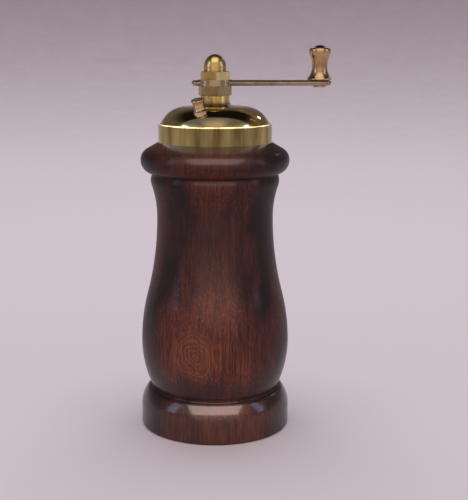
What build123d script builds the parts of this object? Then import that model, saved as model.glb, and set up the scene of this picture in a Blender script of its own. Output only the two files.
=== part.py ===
from build123d import *

import math
import os

# Crank pepper mill: a turned wooden body, a brass cap with a turning lid, a crank, and a pair
# of conical burrs driven by a spindle. Millimetres and degrees, +Z up. The origin is the centre
# of the foot's underside on the mill's axis, the front faces -Y, and the crank arm points to +X.

# Clearances
push_fit = 0.03
running_fit = 0.06
lid_fit = 0.15
end_gap = 0.3

# Outline of the wooden body, from the foot up to the ledge under the cap; drops are below the ledge
body_height = 116.8
foot_radius = 30.6
foot_edge_round = 0.8
foot_wall_height = 8.0
foot_shoulder_radius = 28.2
foot_shoulder_height = 15.0
waist_groove_radius = 26.2
waist_groove_height = 15.9
waist_groove_width = 0.6
belly_radius = 30.25
belly_height = 35.0
belly_curve_radius = 80.0
neck_radius = 23.5
neck_drop = 29.8
lip_radius = 25.65
lip_drop = 16.9
bead_groove_radius = 25.5
bead_groove_drop = 13.1
bead_radius = 29.95
bead_upper_round = 5.0
bead_lower_round = 5.5
bead_slope = 30.0
hopper_radius = 17.0
recess_radius = 22.2

# Brass cap: band on the body's spigot, deck plate across its top
band_radius = 22.8
band_wall = 0.7
band_lip = 0.7
band_edge_round = 0.6
spigot_height = 5.7
deck_thickness = 1.0

# Domed lid, which turns in the band, with its filling port and knob
lid_rise = 7.9
lid_sheet = 0.8
lid_crown_radius = 120.0
lid_shoulder_radius = 10.8
lid_travel = 90.0
port_angle = 90.0
port_inner_radius = 8.5
port_outer_radius = 16.6
port_sweep = 66.0
port_corner = 1.5
lid_knob_angle = -109.4
lid_knob_reach = 17.0
lid_knob_lean = 15.5
lid_knob_lean_angle = -135.0
lid_knob_height = 5.2
lid_knob_top_radius = 2.8
lid_knob_top_round = 0.45
lid_knob_waist_radius = 1.9
lid_knob_waist_height = 2.1
lid_knob_base_radius = 2.65
lid_knob_base_edge = 0.5
lid_knob_seat = 1.8
lid_knob_stud_radius = 1.2
lid_knob_peen_radius = 1.8
lid_knob_peen_height = 0.6
lid_washer_radius = 2.3
lid_washer_thickness = 1.0
stop_pin_radius = 1.0
stop_pin_height = 4.2
stop_pin_tail_radius = 0.7

# Bush that carries the spindle, clamped through the deck by a nut
bush_boss_radius = 5.75
bush_boss_height = 3.15
bush_flange_radius = 6.4
bush_flange_thickness = 0.35
bush_neck_radius = 5.0
bush_tail_radius = 4.4
bush_tail_end = 1.2
bush_washer_radius = 7.4
bush_washer_thickness = 0.8
bush_nut_flats = 13.0
bush_nut_height = 3.2

# Crank, with the nuts that set the grind and hold the arm
nut_chamfer_angle = 15.0
adjusting_nut_flats = 12.0
adjusting_nut_height = 3.7
adjusting_nut_angle = -78.8
arm_hub_radius = 6.8
arm_hub_thickness = 2.5
arm_thickness = 2.1
arm_step = 0.2
arm_width = 7.4
arm_tail = 9.2
arm_end = 4.6
arm_edge_round = 0.95
crank_reach = 41.4
acorn_flats = 11.0
acorn_base_height = 3.2
acorn_angle = -85.1
acorn_dome_radius = 4.45
acorn_wall_height = 1.6
acorn_height = 10.0
acorn_bore_depth = 7.9
knob_gap = 0.15
knob_base_radius = 4.85
knob_base_edge = 0.5
knob_waist_radius = 3.0
knob_waist_height = 4.9
knob_rim_radius = 4.25
knob_rim_height = 11.55
knob_rim_wall = 1.4
knob_top_radius = 3.5
knob_height = 12.4
pin_radius = 1.5
pin_head_radius = 2.6
pin_head_height = 1.0
pin_tail_radius = 2.5
pin_tail_height = 0.6

# Spindle, its spring and the grind setting
grind_travel = 0.6
spindle_radius = 3.0
spindle_flats = 4.4
shaft_radius = 3.6
drive_square = 5.0
journal_radius = 2.4
spring_length = 17.0
spring_wire = 0.8
spring_radius = 3.75
spring_turn_count = 7.0
spring_washer_radius = 5.4
spring_washer_thickness = 0.9

# Burrs: the rotor on the spindle and the ring fixed in the body
burr_gap = 0.65
rotor_height = 17.5
rotor_top_radius = 5.4
rotor_flute_count = 6
rotor_flute_depth = 2.3
rotor_flute_twist = 38.0
rotor_tooth_count = 24
rotor_drop = 0.2
rotor_nut_flats = 8.0
rotor_nut_height = 2.0
ring_radius = 16.7
ring_height = 13.0
ring_flange_radius = 21.8
ring_flange_thickness = 2.0
ring_mouth_radius = 14.2
ring_throat_radius = 12.0
ring_throat_height = 5.0
ring_exit_radius = 14.0
ring_groove_count = 12
ring_groove_depth = 1.3
ring_groove_twist = 24.0
ring_tooth_count = 30
fine_tooth_depth = 0.7
fine_tooth_twist = 12.0

# Bridge that carries the spindle's foot, and the wood screws
floor_clearance = 1.1
bridge_thickness = 2.0
bridge_width = 9.0
bridge_length = 41.0
bridge_pan = 22.0
bridge_ramp = 4.5
bridge_bush_radius = 3.6
bridge_bush_flange_radius = 4.4
bridge_bush_flange = 0.8
screw_circle_radius = 19.4
screw_radius = 1.2
screw_length = 11.0
screw_point = 2.0
screw_head_radius = 2.3
screw_head_height = 1.5
screw_slot_width = 0.6
screw_slot_depth = 0.7

# Heights that follow from the sizes above, from the floor up
bridge_bottom = floor_clearance
bridge_top = bridge_bottom + bridge_thickness
rotor_nut_bottom = bridge_top + bridge_bush_flange + end_gap + grind_travel
rotor_bottom = rotor_nut_bottom + rotor_nut_height
rotor_top = rotor_bottom + rotor_height
ring_bottom = rotor_bottom + rotor_drop
recess_top = ring_bottom + ring_flange_thickness
ring_throat = ring_bottom + ring_throat_height
ring_top = recess_top + ring_height
neck_height = body_height - neck_drop
lip_height = body_height - lip_drop
bead_groove_height = body_height - bead_groove_drop
slope_start_radius = bead_radius - bead_upper_round * (1 - math.sin(math.radians(bead_slope)))
slope_start_height = body_height - (slope_start_radius - band_radius) * math.tan(math.radians(bead_slope))
bead_height = slope_start_height - bead_upper_round * math.cos(math.radians(bead_slope))
spigot_radius = band_radius - band_wall
spigot_top = body_height + spigot_height
deck_top = spigot_top + deck_thickness
band_top = deck_top + band_lip
lid_bottom = deck_top + lid_fit
lid_rim_radius = spigot_radius - lid_fit
lid_top = lid_bottom + lid_rise
bush_flange_bottom = lid_top + lid_fit
bush_top = bush_flange_bottom + bush_flange_thickness + bush_boss_height
bush_nut_top = spigot_top - bush_washer_thickness
bush_bottom = bush_nut_top - bush_nut_height - bush_tail_end
hub_bottom = bush_top + adjusting_nut_height
hub_top = hub_bottom + arm_hub_thickness
arm_bottom = hub_bottom + arm_step
arm_top = arm_bottom + arm_thickness
knob_bottom = arm_top + knob_gap
knob_top = knob_bottom + knob_height
spindle_top = hub_top + acorn_bore_depth - grind_travel - end_gap
flats_bottom = hub_bottom - grind_travel - end_gap
spring_bottom = bush_bottom - spring_length
spring_seat = spring_bottom - spring_washer_thickness
bridge_hole_radius = bridge_bush_radius + push_fit


def polar(radius, angle, height):
    """Point at a radius and an angle from +X, at a height."""
    turn = math.radians(angle)
    return Vector(radius * math.cos(turn), radius * math.sin(turn), height)


def turned(*edges):
    """Solid of revolution about the axis, from a closed outline of radius and height."""
    return revolve(Plane.XZ * make_face(edges), Axis.Z)


def turned_steps(*points):
    """Solid of revolution from a straight-sided outline of radius and height."""
    return turned(Polyline(*points, close=True))


def ring(inner, outer, bottom, top):
    """Plain ring between two radii and two heights."""
    return turned_steps((inner, bottom), (outer, bottom), (outer, top), (inner, top))


def disc(radius, bottom, top):
    """Plain round disc or rod on the axis."""
    return turned_steps((0, bottom), (radius, bottom), (radius, top), (0, top))


def wooden_body():
    """Turned body: foot, belly, neck, bead and spigot, with the hopper and the burr recess."""
    rise = belly_height - neck_height
    swing = 2 * math.atan((neck_radius - belly_radius) / rise)
    bend = (
        belly_radius - belly_curve_radius * (1 - math.cos(swing)),
        belly_height + belly_curve_radius * math.sin(swing),
    )
    foot_shoulder = TangentArc(
        (foot_radius, foot_wall_height),
        (foot_shoulder_radius, foot_shoulder_height),
        tangent=(0, 1),
    )
    neck_flare = TangentArc((neck_radius, neck_height), (lip_radius, lip_height), tangent=(0, 1))
    waist_groove_top = waist_groove_height + waist_groove_width
    bead_run = bead_lower_round - (bead_radius - bead_groove_radius)
    bead_bottom = bead_height - math.sqrt(bead_lower_round**2 - bead_run**2)
    body = turned(
        Line((recess_radius, 0), (foot_radius - foot_edge_round, 0)),
        TangentArc((foot_radius - foot_edge_round, 0), (foot_radius, foot_edge_round), tangent=(1, 0)),
        Line((foot_radius, foot_edge_round), (foot_radius, foot_wall_height)),
        foot_shoulder,
        TangentArc(foot_shoulder @ 1, (waist_groove_radius, waist_groove_height), tangent=foot_shoulder % 1),
        Line((waist_groove_radius, waist_groove_height), (waist_groove_radius, waist_groove_top)),
        TangentArc((belly_radius, belly_height), (waist_groove_radius, waist_groove_top), tangent=(0, -1)),
        TangentArc((belly_radius, belly_height), bend, tangent=(0, 1)),
        TangentArc((neck_radius, neck_height), bend, tangent=(0, -1)),
        neck_flare,
        TangentArc(neck_flare @ 1, (bead_groove_radius, bead_groove_height), tangent=neck_flare % 1),
        Line((bead_groove_radius, bead_groove_height), (bead_groove_radius, bead_bottom)),
        TangentArc((bead_radius, bead_height), (bead_groove_radius, bead_bottom), tangent=(0, -1)),
        TangentArc((bead_radius, bead_height), (slope_start_radius, slope_start_height), tangent=(0, 1)),
        Line((slope_start_radius, slope_start_height), (band_radius, body_height)),
        Polyline(
            (band_radius, body_height),
            (spigot_radius, body_height),
            (spigot_radius, spigot_top),
            (hopper_radius, spigot_top),
            (hopper_radius, recess_top),
            (recess_radius, recess_top),
            (recess_radius, 0),
        ),
    )
    pilots = [screw_hole(angle, recess_top, screw_tip(bottom)) for angle, bottom in screw_places()]
    return body - pilots


def cap_band():
    """Brass band round the spigot, with a rounded top edge that the lid turns inside."""
    inner = spigot_radius + push_fit
    return turned(
        Polyline(
            (band_radius - band_edge_round, band_top),
            (inner, band_top),
            (inner, body_height),
            (band_radius, body_height),
            (band_radius, band_top - band_edge_round),
        ),
        TangentArc(
            (band_radius, band_top - band_edge_round),
            (band_radius - band_edge_round, band_top),
            tangent=(0, 1),
        ),
    )


def port_cutter(angle):
    """Tall sector with round corners that cuts a filling port centred on an angle."""
    start = -port_sweep / 2
    inner = CenterArc((0, 0), port_inner_radius, start, port_sweep)
    outer = CenterArc((0, 0), port_outer_radius, start, port_sweep)
    sides = [Line(inner @ 0, outer @ 0), Line(inner @ 1, outer @ 1)]
    sector = make_face([inner, outer, *sides])
    sector = fillet(sector.vertices(), port_corner)
    return Pos(0, 0, spigot_top - end_gap) * Rot(0, 0, angle) * extrude(sector, 2 * lid_rise)


def lid_shoulder_centre():
    """Radius and height of the centre of the lid's shoulder arc, which touches the crown arc."""
    crown_centre = lid_top - lid_crown_radius
    across = lid_rim_radius
    up = lid_bottom - crown_centre
    span = math.hypot(across, up)
    reach = lid_crown_radius - lid_shoulder_radius
    along = (reach**2 - lid_shoulder_radius**2 + span**2) / (2 * span)
    aside = math.sqrt(reach**2 - along**2)
    return (
        (along * across - aside * up) / span,
        crown_centre + (along * up + aside * across) / span,
    )


def lid_surface(radius):
    """Height of the lid's outer face at a radius."""
    centre_radius, centre_height = lid_shoulder_centre()
    crown_edge = centre_radius * lid_crown_radius / (lid_crown_radius - lid_shoulder_radius)
    if radius < crown_edge:
        return lid_top - lid_crown_radius + math.sqrt(lid_crown_radius**2 - radius**2)
    return centre_height + math.sqrt(lid_shoulder_radius**2 - (radius - centre_radius) ** 2)


def lid_form(inset):
    """Solid under the lid's face, or under the face moved inwards by an inset."""
    centre_radius, centre_height = lid_shoulder_centre()
    crown_centre = lid_top - lid_crown_radius
    lean = math.asin(centre_radius / (lid_crown_radius - lid_shoulder_radius))
    crown = lid_crown_radius - inset
    shoulder = lid_shoulder_radius - inset
    rim = centre_radius + math.sqrt(shoulder**2 - (lid_bottom - centre_height) ** 2)
    joint = (crown * math.sin(lean), crown_centre + crown * math.cos(lean))
    crown_arc = TangentArc((0, crown_centre + crown), joint, tangent=(1, 0))
    return turned(
        crown_arc,
        TangentArc(joint, (rim, lid_bottom), tangent=crown_arc % 1),
        Polyline((rim, lid_bottom), (0, lid_bottom), (0, crown_centre + crown)),
    )


def lid_knob_plane():
    """Plane at the knob's foot on the lid's face, square to the knob, which leans less than the face."""
    lean = math.radians(lid_knob_lean)
    axis = polar(math.sin(lean), lid_knob_lean_angle, math.cos(lean))
    return Plane(polar(lid_knob_reach, lid_knob_angle, lid_surface(lid_knob_reach)), z_dir=axis)


def dome_lid():
    """Spun brass dome with its filling port, spindle hole and knob hole."""
    shell = lid_form(0) - lid_form(lid_sheet)
    spindle_hole = disc(bush_neck_radius + running_fit, lid_bottom, lid_top + lid_rise)
    stud_hole = lid_knob_plane() * disc(lid_knob_stud_radius + push_fit, -lid_rise / 2, lid_rise / 2)
    return shell - [spindle_hole, stud_hole, port_cutter(port_angle)]


def lid_knob():
    """Turned spool that turns the lid, with the stud that is peened over inside."""
    waist = (lid_knob_waist_radius, lid_knob_waist_height)
    shoulder = lid_knob_height - lid_knob_top_round
    head = turned(
        Polyline(
            (lid_knob_top_radius - lid_knob_top_round, lid_knob_height),
            (0, lid_knob_height),
            (0, -lid_knob_seat),
            (lid_knob_base_radius, -lid_knob_seat),
            (lid_knob_base_radius, lid_knob_base_edge),
        ),
        TangentArc(waist, (lid_knob_base_radius, lid_knob_base_edge), tangent=(0, -1)),
        TangentArc(waist, (lid_knob_top_radius, shoulder), tangent=(0, 1)),
        TangentArc(
            (lid_knob_top_radius - lid_knob_top_round, lid_knob_height),
            (lid_knob_top_radius, shoulder),
            tangent=(1, 0),
        ),
    )
    plane = lid_knob_plane()
    peen_top = -lid_sheet - lid_washer_thickness
    stud = disc(lid_knob_stud_radius, peen_top, lid_knob_base_edge)
    peen = disc(lid_knob_peen_radius, peen_top - lid_knob_peen_height, peen_top)
    return plane * head - lid_form(0) + plane * (stud + peen)


def lid_knob_washer():
    """Washer under the lid's sheet, dished to the sheet and held by the peened stud."""
    bottom = -lid_sheet - lid_washer_thickness
    blank = ring(lid_knob_stud_radius + push_fit, lid_washer_radius, bottom, 0)
    return (lid_knob_plane() * blank) & lid_form(lid_sheet)


def stop_pin_places():
    """Places on the deck of the two pins that stop the knob's peened stud."""
    depth = lid_sheet + lid_washer_thickness + lid_knob_peen_height / 2
    peen = lid_knob_plane() * Pos(0, 0, -depth)
    reach = math.hypot(peen.position.X, peen.position.Y)
    spacing = lid_washer_radius + stop_pin_radius + end_gap
    lead = math.degrees(2 * math.asin(spacing / (2 * reach)))
    turns = (lid_knob_angle - lead, lid_knob_angle + lid_travel + lead)
    return [polar(reach, turn, 0) for turn in turns]


def lid_stop_pins():
    """Two pins riveted into the deck, which stop the lid open and shut."""
    pin = disc(stop_pin_radius, deck_top, deck_top + stop_pin_height)
    tail = disc(stop_pin_tail_radius, spigot_top, deck_top)
    return Part() + [Pos(place) * (pin + tail) for place in stop_pin_places()]


def deck_plate():
    """Plate across the cap, with its filling port a quarter turn from the lid's."""
    plate = disc(spigot_radius, spigot_top, deck_top)
    bush_hole = disc(bush_tail_radius + push_fit, bush_bottom, lid_top)
    pin_hole = disc(stop_pin_tail_radius + push_fit, bush_bottom, lid_top)
    pin_holes = [Pos(place) * pin_hole for place in stop_pin_places()]
    return plate - [bush_hole, *pin_holes, port_cutter(port_angle + lid_travel)]


def spindle_bush():
    """Bush with the boss above the lid, the neck the lid turns on and the tail through the deck."""
    bore = spindle_radius + running_fit
    flange_top = bush_flange_bottom + bush_flange_thickness
    return turned_steps(
        (bore, bush_bottom),
        (bush_tail_radius, bush_bottom),
        (bush_tail_radius, deck_top),
        (bush_neck_radius, deck_top),
        (bush_neck_radius, bush_flange_bottom),
        (bush_flange_radius, bush_flange_bottom),
        (bush_flange_radius, flange_top),
        (bush_boss_radius, flange_top),
        (bush_boss_radius, bush_top),
        (bore, bush_top),
    )


def hex_nut(flats, height, corner_angle, chamfer_base=True):
    """Hexagon with its corners chamfered at the top, and at the base too if asked."""
    blank = extrude(RegularPolygon(flats / 2, 6, major_radius=False, rotation=corner_angle), height)
    corner = flats / math.sqrt(3)
    cut = (corner - flats / 2) * math.tan(math.radians(nut_chamfer_angle))
    base = [(flats / 2, 0), (corner, cut)] if chamfer_base else [(corner, 0)]
    lathe = turned_steps((0, 0), *base, (corner, height - cut), (flats / 2, height), (0, height))
    return blank & lathe


def bush_washer():
    """Washer between the deck and the nut on the bush's tail."""
    return ring(bush_tail_radius + push_fit, bush_washer_radius, bush_nut_top, spigot_top)


def bush_nut():
    """Nut on the bush's tail, which clamps the bush to the deck."""
    bottom = bush_nut_top - bush_nut_height
    bore = disc(bush_tail_radius + push_fit, bush_bottom, spigot_top)
    return Pos(0, 0, bottom) * hex_nut(bush_nut_flats, bush_nut_height, 0) - bore


def adjusting_nut():
    """Nut under the arm that lifts the spindle to set the grind."""
    bore = disc(spindle_radius + running_fit, lid_top, hub_top)
    nut = hex_nut(adjusting_nut_flats, adjusting_nut_height, adjusting_nut_angle)
    return Pos(0, 0, bush_top) * nut - bore


def double_flat(clearance, bottom, top):
    """Threaded end of the spindle with two flats, or the hole for it with a clearance."""
    round_rod = disc(spindle_radius + clearance, bottom, top)
    wide = 4 * spindle_radius
    slab = Box(wide, spindle_flats + 2 * clearance, 2 * (top - bottom))
    return round_rod & Pos(0, 0, (bottom + top) / 2) * slab


def crank_arm():
    """Flat arm with round edges and ends, a thick hub and a hole for the knob's pin."""
    far_end = crank_reach + arm_end
    outline = Pos((far_end - arm_tail) / 2, 0) * Rectangle(far_end + arm_tail, arm_width)
    outline = fillet(outline.vertices(), arm_width / 2 - arm_edge_round)
    bar = Pos(0, 0, arm_bottom) * extrude(outline, arm_thickness)
    long_edges = bar.edges().filter_by(GeomType.LINE).filter_by(Axis.X)
    bar = fillet(long_edges, arm_edge_round)
    hub = disc(arm_hub_radius, hub_bottom, hub_top)
    pin_hole = Pos(crank_reach, 0) * disc(pin_radius + push_fit, hub_bottom - arm_step, knob_top)
    spindle_hole = double_flat(running_fit, hub_bottom - arm_step, hub_top + arm_step)
    return bar + hub - [pin_hole, spindle_hole]


def dome_cap(radius, height):
    """Low round cap that stands on the plane, of a radius and a height."""
    return turned(
        TangentArc((0, height), (radius, 0), tangent=(1, 0)),
        Polyline((radius, 0), (0, 0), (0, height)),
    )


def knob_pin():
    """Pin that the knob turns on, with a round head above it and a riveted tail under the arm."""
    head_bottom = knob_top + knob_gap
    shank = disc(pin_radius, arm_bottom, head_bottom)
    head = Pos(0, 0, head_bottom) * dome_cap(pin_head_radius, pin_head_height)
    tail = disc(pin_tail_radius, arm_bottom - pin_tail_height, arm_bottom)
    return Pos(crank_reach, 0) * (shank + head + tail)


def crank_knob():
    """Turned spool knob that spins on its pin."""
    bore = pin_radius + running_fit
    rim_start = (knob_rim_radius, knob_rim_height - knob_rim_wall)
    spool = turned(
        Polyline(
            (knob_top_radius, knob_height),
            (bore, knob_height),
            (bore, 0),
            (knob_base_radius, 0),
            (knob_base_radius, knob_base_edge),
        ),
        TangentArc(
            (knob_waist_radius, knob_waist_height),
            (knob_base_radius, knob_base_edge),
            tangent=(0, -1),
        ),
        TangentArc((knob_waist_radius, knob_waist_height), rim_start, tangent=(0, 1)),
        Line(rim_start, (knob_rim_radius, knob_rim_height)),
        TangentArc((knob_rim_radius, knob_rim_height), (knob_top_radius, knob_height), tangent=(0, 1)),
    )
    return Pos(crank_reach, 0, knob_bottom) * spool


def acorn_nut():
    """Domed cap nut that holds the arm down on the adjusting nut."""
    base = hex_nut(acorn_flats, acorn_base_height, acorn_angle, chamfer_base=False)
    wall_top = acorn_base_height + acorn_wall_height
    wall = disc(acorn_dome_radius, 0, wall_top)
    crown = turned(
        EllipticalCenterArc((0, wall_top), acorn_dome_radius, acorn_height - wall_top, 0, arc_size=90),
        Polyline((acorn_dome_radius, wall_top), (0, wall_top), (0, acorn_height)),
    )
    bore = disc(spindle_radius + running_fit, -end_gap, acorn_bore_depth)
    return Pos(0, 0, hub_top) * (base + wall + crown - bore)


def drive_spindle():
    """Spindle: foot journal, square for the rotor, shaft, and the threaded end with two flats."""
    journal = disc(journal_radius, bridge_bottom, rotor_bottom)
    square = Box(drive_square, drive_square, rotor_height)
    drive = Pos(0, 0, rotor_bottom + rotor_height / 2) * square
    shaft = disc(shaft_radius, rotor_top, spring_seat)
    thread = disc(spindle_radius, spring_seat, flats_bottom)
    end = double_flat(0, flats_bottom, spindle_top)
    return journal + drive + shaft + thread + end


def spring_washer():
    """Washer on the spindle's shoulder that the spring pushes down."""
    return ring(spindle_radius + push_fit, spring_washer_radius, spring_seat, spring_bottom)


def biarc(start, start_tangent, end, end_tangent):
    """Two arcs that join two points and keep the tangent at each."""
    chord = end - start
    both = start_tangent + end_tangent
    square = 2 * (start_tangent.dot(end_tangent) - 1)
    slope = -2 * chord.dot(both)
    reach = (-slope - math.sqrt(slope**2 - 4 * square * chord.dot(chord))) / (2 * square)
    middle = (start + start_tangent * reach + end - end_tangent * reach) * 0.5
    return [
        TangentArc(start, middle, tangent=start_tangent),
        TangentArc(end, middle, tangent=-end_tangent),
    ]


def spindle_spring():
    """Compression spring between the bush's tail and the washer, open at both ends."""
    low = spring_bottom + spring_wire / 2 + push_fit
    rise = spring_length - spring_wire - 2 * push_fit
    quarters = round(spring_turn_count * 4)

    def place(turn):
        return polar(spring_radius, 360 * turn, low + rise * turn / spring_turn_count)

    def heading(turn):
        side = polar(2 * math.pi * spring_radius, 360 * turn + 90, rise / spring_turn_count)
        return side.normalized()

    arcs = []
    for quarter in range(quarters):
        here = quarter / quarters * spring_turn_count
        there = (quarter + 1) / quarters * spring_turn_count
        arcs += biarc(place(here), heading(here), place(there), heading(there))
    section = Plane(place(0), z_dir=heading(0)) * Circle(spring_wire / 2)
    print(f"spring: least gap between turns {spring_least_gap(place):.2f} mm")
    return sweep(section, path=Wire(arcs))


def spring_least_gap(place):
    """Least gap between points of the spring's wire that are at least half a turn apart."""
    steps = 48
    points = [place(step / steps) for step in range(round(spring_turn_count * steps) + 1)]
    least = min(
        (points[b] - points[a]).length
        for a in range(len(points))
        for b in range(a + steps // 2, len(points))
    )
    return least - spring_wire


def toothed_section(height, tip_radius, root_radius, teeth, twist, lead=0.3):
    """Saw-toothed outline at a height: each tooth has a steep flank and a long one."""
    pitch = 360 / teeth
    corners = []
    for tooth in range(teeth):
        start = tooth * pitch + twist
        corners.append(polar(tip_radius, start, height))
        corners.append(polar(root_radius, start + lead * pitch, height))
    return make_face(Polyline(*corners, close=True))


def toothed_cone(bottom, top, tips, roots, teeth, twist):
    """Cone with twisted saw teeth, ruled between sections from the bottom to the top."""
    layers = 3
    sections = []
    for layer in range(layers + 1):
        share = layer / layers
        sections.append(
            toothed_section(
                bottom + (top - bottom) * share,
                tips[0] + (tips[1] - tips[0]) * share,
                roots[0] + (roots[1] - roots[0]) * share,
                teeth,
                twist * share,
            )
        )
    return loft(sections, ruled=True)


def throat_radius(height):
    """Radius of the ring's inner tooth tips below the throat, where they widen to the exit."""
    share = (ring_throat - height) / ring_throat_height
    return ring_throat_radius + (ring_exit_radius - ring_throat_radius) * share


def rotor_burr():
    """Inner burr: six twisted feed flutes above and a band of fine teeth below."""
    exit_tip = throat_radius(rotor_bottom) - burr_gap
    throat_tip = ring_throat_radius - burr_gap
    fine = toothed_cone(
        rotor_bottom,
        ring_throat,
        (exit_tip, throat_tip),
        (exit_tip - fine_tooth_depth, throat_tip - fine_tooth_depth),
        rotor_tooth_count,
        fine_tooth_twist,
    )
    top_root = rotor_top_radius - (rotor_top_radius - shaft_radius) / 2
    feed = toothed_cone(
        ring_throat,
        rotor_top,
        (throat_tip, rotor_top_radius),
        (throat_tip - rotor_flute_depth, top_root),
        rotor_flute_count,
        rotor_flute_twist,
    )
    hole = drive_square + 2 * push_fit
    socket = Pos(0, 0, rotor_bottom + rotor_height / 2) * Box(hole, hole, 2 * rotor_height)
    return fine + feed - socket


def rotor_nut():
    """Nut under the rotor on the spindle's foot."""
    bore = disc(journal_radius + push_fit, bridge_bottom, rotor_top)
    return Pos(0, 0, rotor_nut_bottom) * hex_nut(rotor_nut_flats, rotor_nut_height, 0) - bore


def screw_places():
    """Angle and head seat of each wood screw: two through the bridge, two through the ring alone."""
    under_bridge = ring_bottom - bridge_thickness
    return [(0, under_bridge), (180, under_bridge), (90, ring_bottom), (270, ring_bottom)]


def screw_tip(head_seat):
    """Height of the point of a screw whose head seats at a height."""
    return head_seat + screw_length


def screw_hole(angle, bottom, top):
    """Round hole for a screw's shank."""
    return Pos(polar(screw_circle_radius, angle, 0)) * disc(screw_radius + push_fit, bottom, top)


def grinding_ring():
    """Outer burr: a flanged ring with coarse grooves above its throat and fine teeth below."""
    body = disc(ring_radius, recess_top, ring_top)
    flange = disc(ring_flange_radius, ring_bottom, recess_top)
    height = ring_top - ring_throat
    over = end_gap / height
    mouth = ring_throat_radius + (ring_mouth_radius - ring_throat_radius) * (1 + over)
    coarse = toothed_cone(
        ring_throat,
        ring_top + end_gap,
        (ring_throat_radius, mouth),
        (ring_throat_radius + ring_groove_depth, mouth + ring_groove_depth),
        ring_groove_count,
        ring_groove_twist,
    )
    below = ring_bottom - end_gap
    fine = toothed_cone(
        below,
        ring_throat,
        (throat_radius(below), ring_throat_radius),
        (throat_radius(below) + fine_tooth_depth, ring_throat_radius + fine_tooth_depth),
        ring_tooth_count,
        fine_tooth_twist,
    )
    holes = [screw_hole(angle, ring_bottom - end_gap, recess_top) for angle, _ in screw_places()]
    return body + flange - [coarse, fine, *holes]


def bottom_bridge():
    """Dropped strap under the burrs that holds the bush for the spindle's foot."""
    foot_bottom = ring_bottom - bridge_thickness
    end = bridge_length / 2
    pan = bridge_pan / 2
    ramp = pan + bridge_ramp
    half = [
        (pan, bridge_bottom),
        (ramp, foot_bottom),
        (end, foot_bottom),
        (end, ring_bottom),
        (ramp, ring_bottom),
        (pan, bridge_top),
    ]
    mirrored = [(-across, height) for across, height in reversed(half)]
    strip = Plane.XZ * make_face(Polyline(*half, *mirrored, close=True))
    strap = extrude(strip, bridge_width / 2, both=True)
    rounded = disc(end, 0, recess_top)
    bush_hole = disc(bridge_hole_radius, 0, recess_top)
    holes = [screw_hole(angle, bridge_bottom, recess_top) for angle in (0, 180)]
    return (strap & rounded) - [bush_hole, *holes]


def bridge_bush():
    """Flanged bush in the bridge that the spindle's foot turns in."""
    bore = journal_radius + running_fit
    return turned_steps(
        (bore, bridge_bottom),
        (bridge_bush_radius, bridge_bottom),
        (bridge_bush_radius, bridge_top),
        (bridge_bush_flange_radius, bridge_top),
        (bridge_bush_flange_radius, bridge_top + bridge_bush_flange),
        (bore, bridge_top + bridge_bush_flange),
    )


def wood_screw(angle, head_seat):
    """Slotted round-head wood screw, pointing up from its head's seat."""
    head_top = head_seat - screw_head_height
    head = Pos(0, 0, head_seat) * Rot(180, 0, 0) * dome_cap(screw_head_radius, screw_head_height)
    shank_top = screw_tip(head_seat) - screw_point
    shank = turned_steps(
        (0, head_seat),
        (screw_radius, head_seat),
        (screw_radius, shank_top),
        (0, screw_tip(head_seat)),
    )
    slot = Box(2 * screw_head_radius, screw_slot_width, 2 * screw_slot_depth)
    slot = Pos(0, 0, head_top) * slot
    return Pos(polar(screw_circle_radius, angle, 0)) * (head + shank - slot)


def bridge_screws():
    """Two wood screws that hold the bridge and the ring to the body."""
    return Part() + [wood_screw(angle, seat) for angle, seat in screw_places()[:2]]


def ring_screws():
    """Two wood screws that hold the ring to the body."""
    return Part() + [wood_screw(angle, seat) for angle, seat in screw_places()[2:]]


pieces = [
    wooden_body,
    cap_band,
    deck_plate,
    lid_stop_pins,
    spindle_bush,
    bush_washer,
    bush_nut,
    dome_lid,
    lid_knob,
    lid_knob_washer,
    crank_arm,
    knob_pin,
    crank_knob,
    adjusting_nut,
    acorn_nut,
    drive_spindle,
    spring_washer,
    spindle_spring,
    rotor_burr,
    rotor_nut,
    grinding_ring,
    bottom_bridge,
    bridge_bush,
    bridge_screws,
    ring_screws,
]

os.makedirs("parts", exist_ok=True)
for piece in pieces:
    export_step(piece(), f"parts/{piece.__name__}.step")
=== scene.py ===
"""Dresses the crank pepper mill: turned wooden body, brass cap and lid, crank and conical burrs."""

import cmath
import logging
import math
from dataclasses import dataclass
from enum import Enum
from typing import Any

import bmesh
import bpy
from bpy.types import Material, NodeSocket, NodeTree, Object, bpy_prop_collection
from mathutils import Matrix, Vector


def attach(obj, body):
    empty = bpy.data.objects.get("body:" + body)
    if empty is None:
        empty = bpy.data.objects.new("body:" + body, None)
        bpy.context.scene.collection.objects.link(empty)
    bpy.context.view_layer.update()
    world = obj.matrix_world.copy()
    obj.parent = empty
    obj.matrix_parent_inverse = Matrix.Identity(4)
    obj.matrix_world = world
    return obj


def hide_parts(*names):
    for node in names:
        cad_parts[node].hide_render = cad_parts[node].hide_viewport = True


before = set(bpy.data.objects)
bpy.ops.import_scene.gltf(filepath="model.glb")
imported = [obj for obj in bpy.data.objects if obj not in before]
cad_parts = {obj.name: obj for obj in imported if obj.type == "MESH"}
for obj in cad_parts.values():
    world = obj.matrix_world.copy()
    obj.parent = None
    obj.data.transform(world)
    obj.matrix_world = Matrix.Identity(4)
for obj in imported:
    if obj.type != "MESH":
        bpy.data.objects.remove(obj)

MM = 0.001
# Points of a new mesh that are nearer than this become one, in millimetres.
MERGE = 0.002
# A cutter reaches this far past the faces that it cuts, in millimetres.
THROUGH = 1.0
# The lathe that chamfers a hexagon clears its corners by this factor.
LATHE_ROOM = 1.01
# Edges flatter than this are shaded smoothly, in degrees.
SMOOTH_ANGLE = 50.0
# Pull of the large faces on a smoothed normal, where 50 is even.
FACE_WEIGHT = 80
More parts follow.
